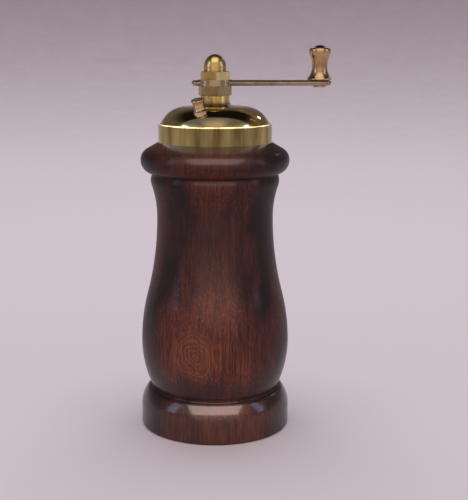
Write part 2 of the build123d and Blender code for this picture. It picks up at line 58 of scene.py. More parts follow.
# An arc that turns less than this is drawn straight, in radians.
STRAIGHT = 1e-6
WEAR = "wear"
SWEEP = "paper_sweep"
Pair = tuple[float, float]
Triple = tuple[float, float, float]
Span = tuple[float, float, float, float]
Inputs = dict[Any, Any] | tuple[Any, ...]
log = logging.getLogger("pepper_mill")


class Body(Enum):
    """Bodies that a piece modelled here rides on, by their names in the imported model."""

    MILL = "mill_body"
    LID = "lid"
    CRANK = "crank"
    KNOB = "knob"
    ADJUSTER = "adjuster"
    CAP_NUT = "cap_nut"


class Slot(Enum):
    """Material slots of the record, one named with each piece modelled here."""

    WOOD = "varnished_wood"
    BRASS = "polished_brass"
    WORN_BRASS = "worn_brass"


class Lamp(Enum):
    """Ways in which a lamp of the studio shows."""

    SOFTBOX = "lights the mill alone and is mirrored in it"
    FILL = "lights the mill and the paper and isn't mirrored"
    CARD = "is only mirrored, in the pieces named"


class Shaping(Enum):
    """Ways in which a piece is shaped by another one, by the names of Blender's booleans."""

    CUT = "DIFFERENCE"
    JOIN = "UNION"
    TRIM = "INTERSECT"


class Grain(Enum):
    """Direction of the fine lines that the last tool left on a metal piece."""

    TURNED = "round the axis"
    FACED = "in circles on a face"
    DRAWN = "along the arm"


def linear(code: str) -> tuple[float, float, float, float]:
    """Turn an sRGB hex colour into linear light.

    Args:
        code: Colour such as "#d8b46c".

    Returns:
        Red, green, blue and alpha for a shader socket.
    """
    parts = [int(code[start : start + 2], 16) / 255 for start in (1, 3, 5)]
    light = [part / 12.92 if part <= 0.04045 else ((part + 0.055) / 1.055) ** 2.4 for part in parts]
    return light[0], light[1], light[2], 1.0


def add_node(tree: NodeTree, kind: str, inputs: Inputs = (), **settings: Any) -> bpy_prop_collection:
    """Add one shader node with its settings and links.

    Args:
        tree: Node tree that gets the node.
        kind: Node type without its prefix, such as "TexNoise".
        inputs: Value or output socket for each input, in order, or by name or number.
        settings: Values of the node's own properties.

    Returns:
        The new node's output sockets.
    """
    node = tree.nodes.new("ShaderNode" + kind)
    for name, value in settings.items():
        setattr(node, name, value)
    for name, value in inputs.items() if isinstance(inputs, dict) else enumerate(inputs):
        if isinstance(value, NodeSocket):
            tree.links.new(value, node.inputs[name])
        else:
            node.inputs[name].default_value = value
    return node.outputs


def blank_material(name: str, centre: Pair = (0.0, 0.0)) -> tuple[Material, NodeTree, NodeSocket]:
    """Make a material whose tree holds only the place on the piece.

    Args:
        name: Name of the material.
        centre: Place of the piece's axis, in millimetres.

    Returns:
        The material, its tree and the socket that gives the place from the axis, in millimetres.
    """
    material = bpy.data.materials.new(name)
    material.use_nodes = True
    tree = material.node_tree
    tree.nodes.clear()
    place = add_node(tree, "TexCoord")["Object"]
    shift = (-centre[0], -centre[1], 0)
    mm = add_node(tree, "Mapping", {"Vector": place, "Scale": (1 / MM,) * 3, "Location": shift})[0]
    return material, tree, mm


@dataclass(frozen=True)
class VarnishedBeech:
    """Turned beech, stained dark and varnished: short flecks and a ring figure under a clear gloss.

    Sizes are in millimetres. A span takes a pattern from its first two values to its last two.
    """

    name: str = "stained_varnished_beech"
    dark: str = "#1d0c09"
    middle: str = "#6a2e1e"
    light: str = "#a9643a"
    ring: str = "#a25a3c"
    pit: str = "#170a08"
    # Colour of the painted shade in the darker bands, and of the stain settled in the bead groove.
    shade: str = "#180c0a"
    fibre_size: Triple = (1.1, 3.2, 50.0)
    fleck_size: Triple = (0.34, 0.34, 7.0)
    cloud_size: Triple = (14.0, 14.0, 14.0 / 0.45)
    # Between these places, towards the front, the stain thins as painted light: the front is lighter, the
    # sides and back darker.
    painted_light_front: Pair = (-17.0, -29.5)
    painted_light_share: float = 0.78
    cloud_span: Span = (0.3, 0.7, -0.35, 0.55)
    streak_span: Span = (0.6, 0.38, 0.0, 0.66)
    fleck_span: Span = (0.54, 0.76, 0.0, 0.45)
    pore_span: Span = (0.42, 0.28, 0.0, 0.55)
    sheen_span: Span = (0.3, 0.7, 0.42, 0.6)
    figure_place: Pair = (-8.0, 36.0)
    figure_sway: float = 5.0
    figure_oval: Triple = (1.15, 0.0, 0.95)
    figure_pitch: float = 1.7
    figure_distortion: float = 9.0
    figure_span: Span = (6.0, 12.5, 0.5, 0.0)
    ring_span: Span = (0.4, 1.0, 0.4, 1.0)
    # Darker bands: height, reach and share of each. At the bead groove it is settled stain and painted
    # shade; on the bead and above the waist groove it is painted shade.
    shade_and_stain_bands: tuple[Triple, ...] = ((104.2, 1.3, 0.5), (110.0, 9.0, 0.5), (19.5, 8.5, 0.5))
    shade_start: float = 0.2
    # The varnish is full up to the first height and worn thin above the second.
    varnish_span: Span = (15.0, 38.0, 0.75, 0.16)
    coat_roughness: float = 0.14
    specular: float = 0.15
    # Depth and strength of each relief.
    fleck_relief: Pair = (0.05, 0.35)
    fibre_relief: Pair = (0.02, 0.5)

    def material(self) -> Material:
        """Build the wood: stain in clouds, thinned towards the front as painted light, fibres and flecks
        along the axis, a ring figure, bands of painted shade, varnish.

        Returns:
            The finished material.
        """
        material, tree, mm = blank_material(self.name)
        parts = add_node(tree, "SeparateXYZ", (mm,))
        textures = []
        for size, detail, roughness in (
            (self.fibre_size, 4.0, 0.6),
            (self.fleck_size, 1.0, 0.5),
            (self.cloud_size, 3.0, 0.5),
        ):
            scale = tuple(1 / width for width in size)
            scaled = add_node(tree, "Mapping", {"Vector": mm, "Scale": scale})[0]
            noise = {"Vector": scaled, "Scale": 1.0, "Detail": detail, "Roughness": roughness}
            textures.append(add_node(tree, "TexNoise", noise))
        fibres, flecks, clouds = (texture["Fac"] for texture in textures)
        # Painted light: the middle colour's share rises towards the front, so the front is lighter than the
        # sides and back.
        front = (parts["Y"], *self.painted_light_front)
        lit_front = add_node(tree, "MapRange", front, interpolation_type="SMOOTHSTEP")[0]
        cloudy = add_node(tree, "MapRange", (clouds, *self.cloud_span))[0]
        stained = (lit_front, self.painted_light_share, cloudy)
        depth = add_node(tree, "Math", stained, operation="MULTIPLY_ADD", use_clamp=True)[0]
        fleck = add_node(tree, "MapRange", (flecks, *self.fleck_span))[0]
        layers = [
            (depth, self.middle),
            (add_node(tree, "MapRange", (fibres, *self.streak_span))[0], self.dark),
            (add_node(tree, "Math", (fleck, depth), operation="MULTIPLY")[0], self.light),
            (self.figure(tree, mm, textures[2]["Color"], lit_front), self.ring),
            (add_node(tree, "MapRange", (flecks, *self.pore_span))[0], self.pit),
        ]
        # Bands of painted shade, with settled stain in the bead groove.
        for height, reach, share in self.shade_and_stain_bands:
            gap = add_node(tree, "Math", (parts["Z"], height), operation="SUBTRACT")[0]
            gap = add_node(tree, "Math", (gap,), operation="ABSOLUTE")[0]
            dim = (gap, self.shade_start, reach, share, 0.0)
            layers.append((add_node(tree, "MapRange", dim, interpolation_type="SMOOTHSTEP")[0], self.shade))
        colour = linear(self.dark)
        for share, tint in layers:
            colour = add_node(tree, "Mix", {0: share, 6: colour, 7: linear(tint)}, data_type="RGBA")[2]
        reliefs = []
        for height, (drop, strength) in ((flecks, self.fleck_relief), (fibres, self.fibre_relief)):
            bump = {"Height": height, "Distance": drop * MM, "Strength": strength}
            reliefs.append(add_node(tree, "Bump", bump)[0])
        surface = {
            "Base Color": colour,
            "Roughness": add_node(tree, "MapRange", (fibres, *self.sheen_span))[0],
            "Normal": reliefs[0],
            "Specular IOR Level": self.specular,
            "Coat Weight": add_node(tree, "MapRange", (parts["Z"], *self.varnish_span))[0],
            "Coat Roughness": self.coat_roughness,
            "Coat Normal": reliefs[1],
        }
        shader = add_node(tree, "BsdfPrincipled", surface)[0]
        add_node(tree, "OutputMaterial", {"Surface": shader})
        return material

    def figure(self, tree: NodeTree, mm: NodeSocket, clouds: NodeSocket, lit_front: NodeSocket) -> NodeSocket:
        """Draw rings round an eye on the front, swayed by the clouds and fading outwards.

        Args:
            tree: Node tree of the wood.
            mm: Place on the piece.
            clouds: Colour of the clouds.
            lit_front: Share of the painted light on the front.

        Returns:
            Share of the rings' colour.
        """
        bend = (self.figure_sway, 0.0, self.figure_sway)
        sway = add_node(tree, "VectorMath", (clouds, bend, mm), operation="MULTIPLY_ADD")[0]
        across, up = self.figure_place
        eye = (-across - self.figure_sway / 2, 0.0, -up - self.figure_sway / 2)
        swirl = add_node(tree, "Mapping", {"Vector": sway, "Location": eye})[0]
        oval = add_node(tree, "VectorMath", (swirl, self.figure_oval), operation="MULTIPLY")[0]
        # A wave texture of scale 1 repeats every pi / 10 of its vector's units.
        wave = {
            "Vector": oval,
            "Scale": math.pi / 10 / self.figure_pitch,
            "Distortion": self.figure_distortion,
            "Detail": 3.0,
            "Detail Scale": 1.1,
        }
        rings = add_node(tree, "TexWave", wave, wave_type="RINGS", rings_direction="Y")["Fac"]
        away = add_node(tree, "VectorMath", (oval,), operation="LENGTH")["Value"]
        near = add_node(tree, "MapRange", (away, *self.figure_span), interpolation_type="SMOOTHSTEP")[0]
        near = add_node(tree, "Math", (near, lit_front), operation="MULTIPLY")[0]
        line = add_node(tree, "MapRange", (rings, *self.ring_span))[0]
        return add_node(tree, "Math", (line, near), operation="MULTIPLY")[0]


@dataclass(frozen=True)
class Brass:
    """Turned or drawn brass: a warm mirror with fine tool lines, brown in the recesses, bright on edges."""

    name: str
    bright: str
    aged: str
    age_share: Pair = (0.0, 0.5)
    roughness: Pair = (0.1, 0.2)
    grain: Grain = Grain.TURNED
    centre: Pair = (0.0, 0.0)
    # Tool lines about 0.1 mm apart are drawn coarser than real, so that they show.
    line_pitch: float = 0.28
    line_depth: float = 0.0012
    cloud_size: float = 5.0
    # The age clouds are drawn out upright by this factor; on the band and the acorn this paints upright
    # strips as painted reflection.
    cloud_stretch: float = 1.0
    cloud_range: Pair = (0.35, 0.68)
    speck_size: float = 0.5
    speck_share: float = 0.5
    mottle_range: Pair = (0.55, 0.95)
    rub_span: Span = (0.2, 0.9, 0.0, 0.7)
    dirt_span: Span = (-0.15, -0.8, 0.0, 0.8)
    recess: str = "#3c2814"
    satin_from: float = 0.0
    satin: float = 0.0
    hub: str = ""
    hub_radius: float = 0.0
    hub_fade: float = 0.9
    hub_share: float = 0.75

    def material(self) -> Material:
        """Build the brass: age in clouds, tool lines as relief, wear on edges and grime in recesses.

        Returns:
            The finished material.
        """
        material, tree, mm = blank_material(self.name, self.centre)
        parts = add_node(tree, "SeparateXYZ", (mm,))
        flat = add_node(tree, "VectorMath", (mm, (1, 1, 0)), operation="MULTIPLY")[0]
        around = add_node(tree, "VectorMath", (flat,), operation="LENGTH")["Value"]
        drawn_out = (1, 1, 1 / self.cloud_stretch)
        stretched = add_node(tree, "Mapping", {"Vector": mm, "Scale": drawn_out})[0]
        cloud = {"Vector": stretched, "Scale": 1 / self.cloud_size, "Detail": 5.0, "Roughness": 0.6}
        clouds = add_node(tree, "TexNoise", cloud)["Fac"]
        speck = {"Vector": mm, "Scale": 1 / self.speck_size, "Detail": 2.0}
        specks = add_node(tree, "TexNoise", speck)["Fac"]
        wear = add_node(tree, "Attribute", attribute_name=WEAR)["Fac"]
        layers = [(add_node(tree, "MapRange", (clouds, *self.cloud_range, *self.age_share))[0], self.aged)]
        if self.hub:
            inside = (around, self.hub_radius, self.hub_fade * self.hub_radius, 0.0, self.hub_share)
            layers.append((add_node(tree, "MapRange", inside)[0], self.hub))
        for span, tint in ((self.rub_span, self.bright), (self.dirt_span, self.recess)):
            layers.append((add_node(tree, "MapRange", (wear, *span))[0], tint))
        colour = linear(self.bright)
        for share, tint in layers:
            colour = add_node(tree, "Mix", {0: share, 6: colour, 7: linear(tint)}, data_type="RGBA")[2]
        mottle = add_node(tree, "Math", (specks, self.speck_share, clouds), operation="MULTIPLY_ADD")[0]
        rough = add_node(tree, "MapRange", (mottle, *self.mottle_range, *self.roughness))[0]
        if self.satin:
            above = add_node(tree, "Math", (parts["Z"], self.satin_from), operation="GREATER_THAN")[0]
            rough = add_node(tree, "Math", (above, self.satin, rough), operation="MULTIPLY_ADD")[0]
        across = {Grain.FACED: around, Grain.TURNED: parts["Z"], Grain.DRAWN: parts["Y"]}[self.grain]
        line = {"W": across, "Scale": 1 / self.line_pitch, "Detail": 3.0}
        lines = add_node(tree, "TexNoise", line, noise_dimensions="1D")["Fac"]
        bump = {"Height": lines, "Distance": self.line_depth * MM, "Strength": 1.0}
        relief = add_node(tree, "Bump", bump)[0]
        surface = {"Base Color": colour, "Metallic": 1.0, "Roughness": rough, "Normal": relief}
        shader = add_node(tree, "BsdfPrincipled", surface)[0]
        add_node(tree, "OutputMaterial", {"Surface": shader})
        return material


@dataclass(frozen=True)
class Iron:
    """Turned steel or hardened iron: grey metal with tool lines or a cast skin."""

    name: str
    bright: str
    dull: str
    roughness: Pair
    skin_size: float
    skin_depth: float
    skin_range: Pair = (0.3, 0.7)

    def material(self) -> Material:
        """Build the metal: a mottled grey with relief of its own skin size.

        Returns:
            The finished material.
        """
        material, tree, mm = blank_material(self.name)
        skin = add_node(tree, "TexNoise", {"Vector": mm, "Scale": 1 / self.skin_size, "Detail": 4.0})["Fac"]
        tones = {0: skin, 6: linear(self.bright), 7: linear(self.dull)}
        bump = {"Height": skin, "Distance": self.skin_depth * MM, "Strength": 1.0}
        surface = {
            "Base Color": add_node(tree, "Mix", tones, data_type="RGBA")[2],
            "Metallic": 1.0,
            "Roughness": add_node(tree, "MapRange", (skin, *self.skin_range, *self.roughness))[0],
            "Normal": add_node(tree, "Bump", bump)[0],
        }
        shader = add_node(tree, "BsdfPrincipled", surface)[0]
        add_node(tree, "OutputMaterial", {"Surface": shader})
        return material


@dataclass(frozen=True)
class PaperFloor:
    """Matt paper sweep: pale, with a faint fibre so that it isn't a flat colour, and painted shade far from
    the mill.
    """

    name: str = "pale_paper"
    near: str = "#f3eaf1"
    # Colour of the painted shade that the paper turns to far from the mill.
    far: str = "#aa9ca6"
    reach: Pair = (900.0, 2000.0)
    fibre_size: float = 25.0
    fibre_share: float = 120.0
    roughness: float = 0.9

    def material(self) -> Material:
        """Build the paper, with painted shade that makes it darker far from the mill.

        Returns:
            The finished material.
        """
        material, tree, mm = blank_material(self.name)
        noise = {"Vector": mm, "Scale": 1 / self.fibre_size, "Detail": 3.0}
        fibre = add_node(tree, "TexNoise", noise)["Fac"]
        away = add_node(tree, "VectorMath", (mm,), operation="LENGTH")["Value"]
        uneven = add_node(tree, "Math", (fibre, self.fibre_share, away), operation="MULTIPLY_ADD")[0]
        # Painted shade: the paper darkens with its distance from the mill, between the distances of reach.
        shade = add_node(tree, "MapRange", (uneven, *self.reach), interpolation_type="SMOOTHSTEP")[0]
        tones = {0: shade, 6: linear(self.near), 7: linear(self.far)}
        colour = add_node(tree, "Mix", tones, data_type="RGBA")[2]
        surface = {"Base Color": colour, "Roughness": self.roughness}
        shader = add_node(tree, "BsdfPrincipled", surface)[0]
        add_node(tree, "OutputMaterial", {"Surface": shader})
        return material


class Outline:
    """Line drawn point by point in millimetres: radius and height of a turned piece, or a plan."""

    def __init__(self, across: float, up: float) -> None:
        """Start the line at a point."""
        self.points: list[complex] = [complex(across, up)]
        self.heading = 0.0

    def line(self, across: float, up: float) -> "Outline":
        """Draw a straight line to a point.

        Args:
            across: First coordinate of the end.
            up: Second coordinate of the end.

        Returns:
            The outline.
        """
        self.heading = cmath.phase(complex(across, up) - self.points[-1])
        self.points.append(complex(across, up))
        return self

    def steps(self, *sides: float) -> "Outline":
        """Draw level and upright lines in turn.

        Args:
            sides: First coordinate where a level line ends, then second one where an upright line ends.

        Returns:
            The outline.
        """
        for index, side in enumerate(sides):
            here = self.points[-1]
            if index % 2:
                self.line(here.real, side)
            else:
                self.line(side, here.imag)
        return self

    def arc(
        self,
        across: float,
        up: float,
        leaves: float | None = None,
        arrives: float | None = None,
        step: float = 4.0,
    ) -> "Outline":
        """Draw an arc to a point, tangent to a heading at one of its ends.

        Args:
            across: First coordinate of the end.
            up: Second coordinate of the end.
            leaves: Heading at the start in degrees, 0 outwards and 90 up; the last heading if left out.
            arrives: Heading at the end in degrees, in place of the one at the start.
            step: Turn between two points in degrees.

        Returns:
            The outline.
        """
        start = self.points[-1]
        chord = complex(across, up) - start
        along = cmath.phase(chord)
        if arrives is not None:
            half = math.radians(arrives) - along
        else:
            half = along - (self.heading if leaves is None else math.radians(leaves))
        half = (half + math.pi) % (2 * math.pi) - math.pi
        count = max(2, math.ceil(abs(math.degrees(2 * half)) / step))
        for index in range(1, count + 1):
            share = index / count
            reach = share if abs(half) < STRAIGHT else math.sin(half * share) / math.sin(half)
            self.points.append(start + cmath.rect(abs(chord) * reach, along - half + half * share))
        self.heading = along + half
        return self


def select_only(piece: Object) -> None:
    """Select a piece alone and make it active.

    Args:
        piece: Piece to select.
    """
    bpy.ops.object.select_all(action="DESELECT")
    piece.select_set(True)
    bpy.context.view_layer.objects.active = piece


def apply_modifier(piece: Object, kind: str, **settings: Any) -> None:
    """Add a modifier and apply it.

    Args:
        piece: Piece that gets it.
        kind: Modifier type, such as "BEVEL".
        settings: Values of its properties.
    """
    select_only(piece)
    modifier = piece.modifiers.new(kind.title(), kind)
    for name, value in settings.items():
        setattr(modifier, name, value)
    bpy.ops.object.modifier_apply(modifier=modifier.name)


def draw_line(name: str, outline: Outline, corner: Vector, across: Vector, up: Vector) -> Object:
    """Draw an outline as a chain of extruded vertices and stay in edit mode with all of it selected.

    Args:
        name: Name of the new piece.
        outline: Line to draw.
        corner: Place of the outline's zero point, in millimetres.
        across: Direction of its first coordinate.
        up: Direction of its second coordinate.

    Returns:
        The piece, with no faces yet.
    """
    bpy.ops.object.select_all(action="DESELECT")
    places = [(corner + across * point.real + up * point.imag) * MM for point in outline.points]
    bpy.ops.mesh.primitive_plane_add(size=MM, location=places[0])
    piece = bpy.context.object
    piece.name = name
    piece.data.name = name
    bpy.ops.object.transform_apply(location=True, rotation=True, scale=True)
    bpy.ops.object.mode_set(mode="EDIT")
    bpy.ops.mesh.select_all(action="SELECT")
    bpy.ops.mesh.merge(type="CENTER")
    for here, there in zip(places, places[1:]):
        bpy.ops.mesh.extrude_vertices_move(TRANSFORM_OT_translate={"value": there - here})
    bpy.ops.mesh.select_all(action="SELECT")
    return piece


def turned(name: str, outline: Outline, segments: int, centre: Pair = (0.0, 0.0)) -> Object:
    """Model a turned piece: draw its half section and spin it round an upright axis.

    Args:
        name: Name of the new piece.
        outline: Half section as radius and height, closed or from axis to axis.
        segments: Steps of the spin.
        centre: Place of the axis, in millimetres.

    Returns:
        The closed piece.
    """
    axis = Vector((centre[0], centre[1], 0))
    piece = draw_line(name, outline, axis, Vector((1, 0, 0)), Vector((0, 0, 1)))
    bpy.ops.mesh.spin(steps=segments, angle=2 * math.pi, center=axis * MM, axis=(0, 0, 1))
    bpy.ops.mesh.select_all(action="SELECT")
    bpy.ops.mesh.remove_doubles(threshold=MERGE * MM)
    bpy.ops.mesh.normals_make_consistent(inside=False)
    bpy.ops.object.mode_set(mode="OBJECT")
    return piece


def cut_sheet(name: str, plan: Outline, bottom: float, top: float) -> Object:
    """Model a flat piece: draw its plan, fill it and extrude it upwards.

    Args:
        name: Name of the new piece.
        plan: Closed plan, seen from above.
        bottom: Height of the underside.
        top: Height of the upper face.

    Returns:
        The closed piece.
    """
    piece = draw_line(name, plan, Vector((0, 0, bottom)), Vector((1, 0, 0)), Vector((0, 1, 0)))
    bpy.ops.mesh.remove_doubles(threshold=MERGE * MM)
    bpy.ops.mesh.edge_face_add()
    bpy.ops.mesh.extrude_region_move(TRANSFORM_OT_translate={"value": (0, 0, (top - bottom) * MM)})
    bpy.ops.mesh.select_all(action="SELECT")
    bpy.ops.mesh.normals_make_consistent(inside=False)
    bpy.ops.object.mode_set(mode="OBJECT")
    return piece


def combine(piece: Object, tool: Object, shaping: Shaping) -> None:
    """Cut, join or trim a piece with another, which is used up.

    Args:
        piece: Piece that stays.
        tool: Piece that is used up.
        shaping: What the tool does to the piece.
    """
    apply_modifier(piece, "BOOLEAN", operation=shaping.value, object=tool, solver="EXACT")
    bpy.data.objects.remove(tool, do_unlink=True)


def ease_edges(piece: Object, width: float, segments: int = 3, angle: float = 35.0) -> None:
    """Round a piece's sharp edges a little and shade it smoothly.

    Args:
        piece: Piece to finish.
        width: Width of the rounding in millimetres.
        segments: Steps across the rounding.
        angle: Least angle of an edge that is rounded, in degrees.
    """
    apply_modifier(
        piece,
        "BEVEL",
        width=width * MM,
        segments=segments,
        limit_method="ANGLE",
        angle_limit=math.radians(angle),
        use_clamp_overlap=True,
    )
    bpy.ops.object.shade_smooth_by_angle(angle=math.radians(SMOOTH_ANGLE))
    apply_modifier(piece, "WEIGHTED_NORMAL", keep_sharp=True, weight=FACE_WEIGHT)


def mark_wear(piece: Object, full_angle: float = 24.0, broad: float = 0.6) -> None:
    """Store how sharp each corner of a face is: above 0 on outer edges and below 0 in recesses.

    Args:
        piece: Piece to mark.
        full_angle: Angle of an edge that counts as 1, in degrees.
        broad: Width of a face that shows no wear of its own, in millimetres.
    """
    shape = bmesh.new()
    shape.from_mesh(piece.data)
    sharpness = []
    for vertex in shape.verts:
        angles = [edge.calc_face_angle_signed(0.0) for edge in vertex.link_edges]
        sharpness.append(max(angles, key=abs, default=0.0) / math.radians(full_angle))
    values = []
    for face in shape.faces:
        narrow = 2 * face.calc_area() < broad * MM * face.calc_perimeter()
        values.extend(sharpness[corner.vert.index] if narrow else 0.0 for corner in face.loops)
    shape.free()
    attribute = piece.data.attributes.new(WEAR, "FLOAT", "CORNER")
    attribute.data.foreach_set("value", values)


def seat(piece: Object, body: Body, slot: Slot, finish: Material, *nodes: str) -> None:
    """Dress a finished piece, let it ride on its body and stand for its CAD nodes.

    Args:
        piece: Finished piece.
        body: Body it moves with.
        slot: Material slot of the record; not used.
        finish: Its material.
        nodes: CAD nodes that it replaces.
    """
    mark_wear(piece)
    piece.data.materials.clear()
    piece.data.materials.append(finish)
    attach(piece, body.value)
    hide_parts(*nodes)
    log.info("%s replaces %s: %d faces", piece.name, ", ".join(nodes), len(piece.data.polygons))


def dress_node(node: str, finish: Material) -> None:
    """Give a CAD node that stays in view its material.

    Args:
        node: Name of the node.
        finish: Its material.
    """
    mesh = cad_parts[node].data
    mesh.materials.clear()
    mesh.materials.append(finish)
    log.info("%s keeps its CAD mesh, in %s", node, finish.name)


# The band: a bright mirror with a soft rolled edge, in upright strips of pale gold, tan and olive; its age
# clouds are drawn out into the upright strips as painted reflection.
POLISHED_BRASS = Brass(
    "polished_band_brass",
    "#c4b373",
    "#765f37",
    (0.0, 1.0),
    (0.08, 0.16),
    cloud_size=4.2,
    cloud_stretch=9.0,
    satin_from=123.65,
    satin=0.2,
)
# The lid: a dark, almost clean mirror that shows the room above, with hairlines in circles.
SPUN_BRASS = Brass("spun_lid_brass", "#d6c290", "#a0834f", (0.0, 0.4), (0.06, 0.13), Grain.FACED)
# The knobs: rosy brass, handled to a soft gleam and browned in patches; the crank's is darker all over than
# the lid's.
LID_KNOB_BRASS = Brass("turned_knob_brass", "#e6ca9e", "#ae875e", (0.1, 0.6), (0.2, 0.32))
KNOB_BRASS = Brass("darker_knob_brass", "#ccaa7a", "#946c46", (0.1, 0.6), (0.2, 0.32), centre=(41.4, 0.0))
# The arm: dull brown brass with a rosy streak where its round edge is rubbed, yellower on the hub.
WORN_BRASS = Brass(
    "worn_arm_brass",
    "#b3a087",
    "#7a614b",
    (0.1, 0.8),
    (0.2, 0.34),
    Grain.DRAWN,
    hub="#ad985c",
    hub_radius=7.6,
)
# The adjusting nut and the bridge's bush: satin brass, whose flats differ by their tone alone.
NUT_BRASS = Brass("satin_nut_brass", "#ad9563", "#846940", (0.1, 0.6), (0.24, 0.36))
# The acorn and the bush: warm gold with upright streaks of light and brown.
ACORN_BRASS = Brass(
    "turned_acorn_brass", "#dec27a", "#98743c", (0.0, 0.7), (0.24, 0.36), cloud_size=2.2, cloud_stretch=6.0
)
# Inside: bright turned steel, and burrs of dark hardened iron with a grainy skin.
SPINDLE_STEEL = Iron("turned_spindle_steel", "#b9b7b2", "#8f8c86", (0.22, 0.36), 0.6, 0.004)
BURR_STEEL = Iron("hardened_burr_steel", "#6f6a64", "#3d3935", (0.4, 0.62), 0.8, 0.03)


@dataclass
class WoodenBody:
    """Turned body with its foot, belly, neck, bead and spigot, the hopper and the burr recess."""

    height: float = 116.8
    foot_radius: float = 30.6
    foot_edge: float = 0.8
    foot_wall: float = 8.0
    shoulder: Pair = (28.2, 15.0)
    waist_groove: Pair = (26.2, 15.9)
    waist_groove_width: float = 0.6
    belly: Pair = (30.25, 35.0)
    belly_curve: float = 80.0
    neck: Pair = (23.5, 87.0)
    lip: Pair = (25.65, 99.9)
    bead_groove: Pair = (25.5, 103.7)
    bead_radius: float = 29.95
    bead_upper_round: float = 5.0
    bead_lower_round: float = 5.5
    bead_slope: float = 30.0
    band_radius: float = 22.8
    spigot_radius: float = 22.1
    spigot_height: float = 5.7
    hopper_radius: float = 17.0
    recess_radius: float = 22.2
    recess_height: float = 9.0
    # Beech under a dark stain: short pale flecks, dark streaks, and a gloss that is clear on the foot.
    finish: VarnishedBeech = VarnishedBeech()

    def outline(self) -> Outline:
        """Draw the half section, up the outside and down the hopper.

        Returns:
            The closed outline.
        """
        slope = math.radians(self.bead_slope)
        slope_radius = self.bead_radius - self.bead_upper_round * (1 - math.sin(slope))
        slope_height = self.height - (slope_radius - self.band_radius) * math.tan(slope)
        bead_height = slope_height - self.bead_upper_round * math.cos(slope)
        bead_run = self.bead_lower_round - (self.bead_radius - self.bead_groove[0])
        bead_bottom = bead_height - math.sqrt(self.bead_lower_round**2 - bead_run**2)
        swing = 2 * math.atan((self.belly[0] - self.neck[0]) / (self.neck[1] - self.belly[1]))
        bend = (
            self.belly[0] - self.belly_curve * (1 - math.cos(swing)),
            self.belly[1] + self.belly_curve * math.sin(swing),
        )
        spigot_top = self.height + self.spigot_height
        line = Outline(self.recess_radius, 0).line(self.foot_radius - self.foot_edge, 0)
        line.arc(self.foot_radius, self.foot_edge, leaves=0, step=15)
        line.line(self.foot_radius, self.foot_wall)
        line.arc(*self.shoulder, leaves=90).arc(*self.waist_groove)
        line.line(self.waist_groove[0], self.waist_groove[1] + self.waist_groove_width)
        line.arc(*self.belly, arrives=90, step=2.5).arc(*bend, leaves=90, step=1.5)
        line.arc(*self.neck, arrives=90, step=1.5).arc(*self.lip, leaves=90, step=2)
        line.arc(*self.bead_groove, step=12)
        line.line(self.bead_groove[0], bead_bottom)
        line.arc(self.bead_radius, bead_height, arrives=90).arc(slope_radius, slope_height, leaves=90)
        line.line(self.band_radius, self.height)
        line.steps(self.spigot_radius, spigot_top, self.hopper_radius, self.recess_height)
        return line.steps(self.recess_radius, 0)

    def build(self) -> None:
        """Model and dress the body."""
        piece = turned("wooden_body_turned", self.outline(), segments=192)
        ease_edges(piece, width=0.12, segments=2)
        seat(piece, Body.MILL, Slot.WOOD, self.finish.material(), "wooden_body")


@dataclass
class BrassCap:
    """Band on the body's spigot, with the deck under the lid and the bush that carries the spindle."""

    band_radius: float = 22.8
    band_wall: float = 0.67
    band_bottom: float = 116.8
    band_top: float = 124.2
    band_edge: float = 0.6
    bush_bore: float = 3.06
    bush_tail_radius: float = 4.4
    bush_neck_radius: float = 5.0
    bush_boss_radius: float = 5.75
    bush_flange_radius: float = 6.4
    bush_bottom: float = 117.3
    deck_top: float = 123.5
    flange_bottom: float = 131.7
    flange_top: float = 132.05
    boss_top: float = 135.2
    finish: Brass = POLISHED_BRASS
    bush_finish: Brass = ACORN_BRASS

    def build(self) -> None:
        """Model the band and the bush and dress what is under the lid."""
        brass = self.finish.material()
        inner = self.band_radius - self.band_wall
        band = Outline(inner, self.band_bottom).steps(self.band_radius, self.band_top - self.band_edge)
        band.arc(self.band_radius - self.band_edge, self.band_top, leaves=90, step=10)
        band.line(inner, self.band_top).line(inner, self.band_bottom)
        piece = turned("cap_band_rolled", band, segments=192)
        ease_edges(piece, width=0.06, segments=2)
        seat(piece, Body.MILL, Slot.BRASS, brass, "cap_band")
        bush = Outline(self.bush_bore, self.bush_bottom)
        bush.steps(self.bush_tail_radius, self.deck_top, self.bush_neck_radius, self.flange_bottom)
        bush.steps(self.bush_flange_radius, self.flange_top, self.bush_boss_radius, self.boss_top)
        bush.steps(self.bush_bore, self.bush_bottom)
        piece = turned("spindle_bush_turned", bush, segments=96)
        ease_edges(piece, width=0.18)
        seat(piece, Body.MILL, Slot.BRASS, self.bush_finish.material(), "spindle_bush")
        for node in ("deck_plate", "lid_stop_pins", "bush_washer", "bush_nut"):
            dress_node(node, brass)


